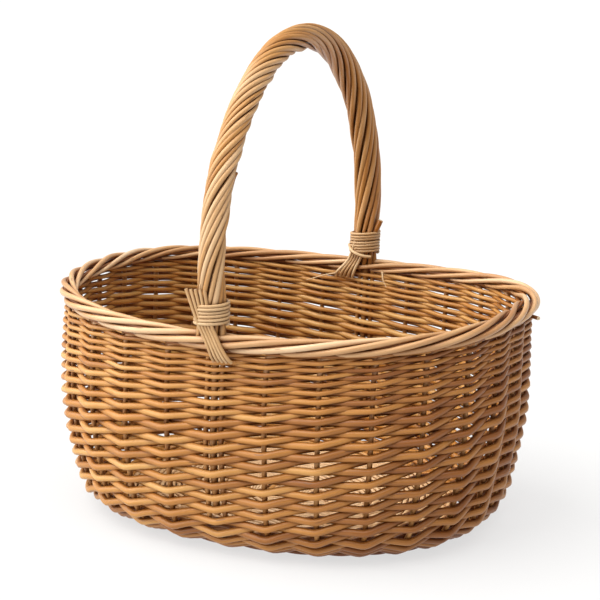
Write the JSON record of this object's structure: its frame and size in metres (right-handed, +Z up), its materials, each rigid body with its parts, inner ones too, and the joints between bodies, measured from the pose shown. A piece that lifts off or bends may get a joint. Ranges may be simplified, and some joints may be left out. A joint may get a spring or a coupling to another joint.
{
  "type": "woven market basket",
  "caption": "Oval wicker shopping basket with a rounded bottom edge, rolled rim and a roped arch handle fixed over the short axis.",
  "frame": {"origin": "on the floor under the middle of the basket, at the centre of the flat base's underside", "axes": "+X along the long axis of the oval, +Y along the short axis in the plane of the handle, +Z up"},
  "size_m": [0.4188, 0.3844, 0.4347],
  "materials": {
    "willow_weave": "satin",
    "willow_stakes": "satin",
    "willow_border": "satin",
    "willow_handle": "satin",
    "willow_binding": "satin"
  },
  "bodies": {
    "root": {"base_stick_long_1": "willow_stakes", "base_stick_long_2": "willow_stakes", "base_stick_long_3": "willow_stakes", "base_stick_short_1": "willow_stakes", "base_stick_short_2": "willow_stakes", "base_stick_short_3": "willow_stakes", "base_stick_short_4": "willow_stakes", "base_stick_short_5": "willow_stakes", "base_weave": "willow_weave", "stake_01": "willow_stakes", "stake_02": "willow_stakes", "stake_03": "willow_stakes", "stake_04": "willow_stakes", "stake_05": "willow_stakes", "stake_06": "willow_stakes", "stake_07": "willow_stakes", "stake_08": "willow_stakes", "stake_09": "willow_stakes", "stake_10": "willow_stakes", "stake_11": "willow_stakes", "stake_12": "willow_stakes", "stake_13": "willow_stakes", "stake_14": "willow_stakes", "stake_15": "willow_stakes", "stake_16": "willow_stakes", "stake_17": "willow_stakes", "stake_18": "willow_stakes", "stake_19": "willow_stakes", "stake_20": "willow_stakes", "stake_21": "willow_stakes", "stake_22": "willow_stakes", "stake_23": "willow_stakes", "stake_24": "willow_stakes", "stake_25": "willow_stakes", "stake_26": "willow_stakes", "upsett_wale": "willow_weave", "side_weave_lower": "willow_weave", "side_weave_middle": "willow_weave", "side_weave_upper": "willow_weave", "border_rod_outer_upper": "willow_border", "border_rod_outer_lower": "willow_border", "border_rod_inner_upper": "willow_border", "border_rod_inner_lower": "willow_border", "handle_bow": "willow_handle", "handle_rope_rod_01": "willow_handle", "handle_rope_rod_02": "willow_handle", "handle_rope_rod_03": "willow_handle", "handle_rope_rod_04": "willow_handle", "handle_rope_rod_05": "willow_handle", "handle_rope_rod_06": "willow_handle", "handle_rope_rod_07": "willow_handle", "handle_rope_rod_08": "willow_handle", "handle_rope_rod_09": "willow_handle", "handle_rope_rod_10": "willow_handle", "handle_rope_rod_11": "willow_handle", "handle_rope_rod_12": "willow_handle", "handle_binding_front": "willow_binding", "handle_binding_back": "willow_binding", "handle_tie_front": "willow_binding", "handle_tie_back": "willow_binding"}
  },
  "joints": []
}
